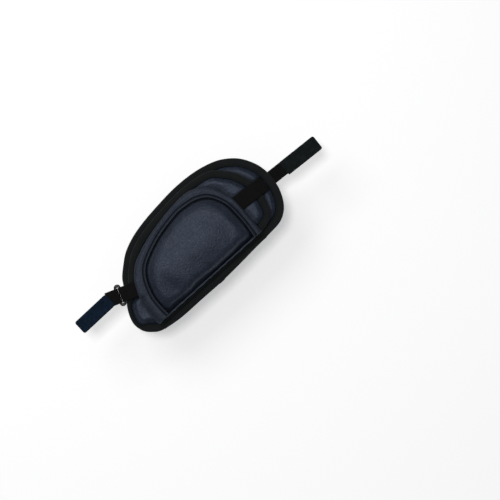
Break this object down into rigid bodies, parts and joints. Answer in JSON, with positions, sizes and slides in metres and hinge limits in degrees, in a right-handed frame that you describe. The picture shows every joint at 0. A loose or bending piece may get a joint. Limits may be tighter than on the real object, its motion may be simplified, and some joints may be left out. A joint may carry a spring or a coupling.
{
  "type": "padded strap-on armrest pad",
  "caption": "Bean-shaped padded leather arm pad with bound edges, a bulging lift-up flap and a hook-and-loop webbing strap at each end.",
  "frame": {"origin": "middle of the flat resting face of the back lining, under the middle of the pad", "axes": "+X along the pad towards the slotted strap, +Y towards the curved long side, +Z out of the padded face"},
  "size_m": [0.3026, 0.1031, 0.0239],
  "materials": {
    "pad_leather": "fine grain, satin",
    "flap_edge_leather": "fine grain, satin",
    "binding_tape": "ribbed binding tape, matte",
    "strap_webbing": "woven webbing, matte",
    "upper_tape": "hook-and-loop tape, matte",
    "lower_tape": "hook-and-loop tape, matte, navy tint",
    "thread": "twisted thread",
    "foam": "open-cell foam",
    "lining": "brushed lining, matte",
    "stiffener_board": "plain sheet",
    "coated_wire": "gloss black coating"
  },
  "bodies": {
    "pad": {"back_lining": "lining", "stiffener_sheet": "stiffener_board", "base_foam": "foam", "base_leather": "pad_leather", "rim_binding": "binding_tape", "rim_thread": "thread", "middle_foam": "foam", "middle_leather": "pad_leather", "middle_binding": "binding_tape", "middle_thread": "thread", "spine_strip": "binding_tape", "spine_cord": "binding_tape", "spine_thread": "thread", "closure_hook_patch": "upper_tape", "upper_strap_inner": "strap_webbing", "ring_anchor_webbing": "strap_webbing"},
    "flap": {"flap_panel_leather": "pad_leather", "flap_edge_leather": "flap_edge_leather", "flap_seam_cord": "flap_edge_leather", "flap_outer_thread": "thread", "flap_inner_thread": "thread", "flap_foam": "foam", "flap_lining": "lining", "closure_loop_patch": "upper_tape"},
    "upper_strap": {"upper_strap_webbing": "strap_webbing"},
    "upper_tab": {"upper_tab_webbing": "strap_webbing", "upper_tab_loop_tape": "upper_tape"},
    "upper_tab_cover": {"upper_tab_hook_tape": "upper_tape"},
    "lower_ring": {"lower_ring": "coated_wire"},
    "lower_strap": {"lower_strap_webbing": "strap_webbing", "lower_tab_loop_tape": "lower_tape"},
    "lower_tab_cover": {"lower_tab_hook_tape": "lower_tape"}
  },
  "joints": [
    {"name": "flap_lift", "type": "hinge", "parent": "pad", "child": "flap", "pos_m": [0, -0.04, 0.0146], "axis": [0.9998, 0.02, 0], "range_deg": [0, 150]},
    {"name": "upper_strap_slide", "type": "slide", "parent": "pad", "child": "upper_strap", "axis": [0.999, -0.0436, 0], "range_m": [-0.004, 0.018]},
    {"name": "upper_strap_bend", "type": "hinge", "parent": "upper_strap", "child": "upper_tab", "pos_m": [0.10799, -0.00435, 0.0021], "axis": [-0.0436, -0.999, 0], "range_deg": [-90, 90], "stiffness_Nm_per_rad": 0.002},
    {"name": "upper_tab_peel", "type": "hinge", "parent": "upper_tab", "child": "upper_tab_cover", "pos_m": [0.15834, -0.00655, 0.00405], "axis": [0.0436, 0.999, 0], "range_deg": [0, 170]},
    {"name": "lower_ring_swing", "type": "hinge", "parent": "pad", "child": "lower_ring", "pos_m": [-0.08993, 0.00552, 0.009], "axis": [0.3256, 0.9455, 0], "range_deg": [-60, 70]},
    {"name": "lower_strap_swing", "type": "hinge", "parent": "lower_ring", "child": "lower_strap", "pos_m": [-0.09447, 0.00708, 0.009], "axis": [0.3256, 0.9455, 0], "range_deg": [-70, 70]},
    {"name": "lower_tab_peel", "type": "hinge", "parent": "lower_strap", "child": "lower_tab_cover", "pos_m": [-0.14417, 0.00794, 0.01125], "axis": [0.0349, -0.9994, 0], "range_deg": [0, 170]}
  ]
}
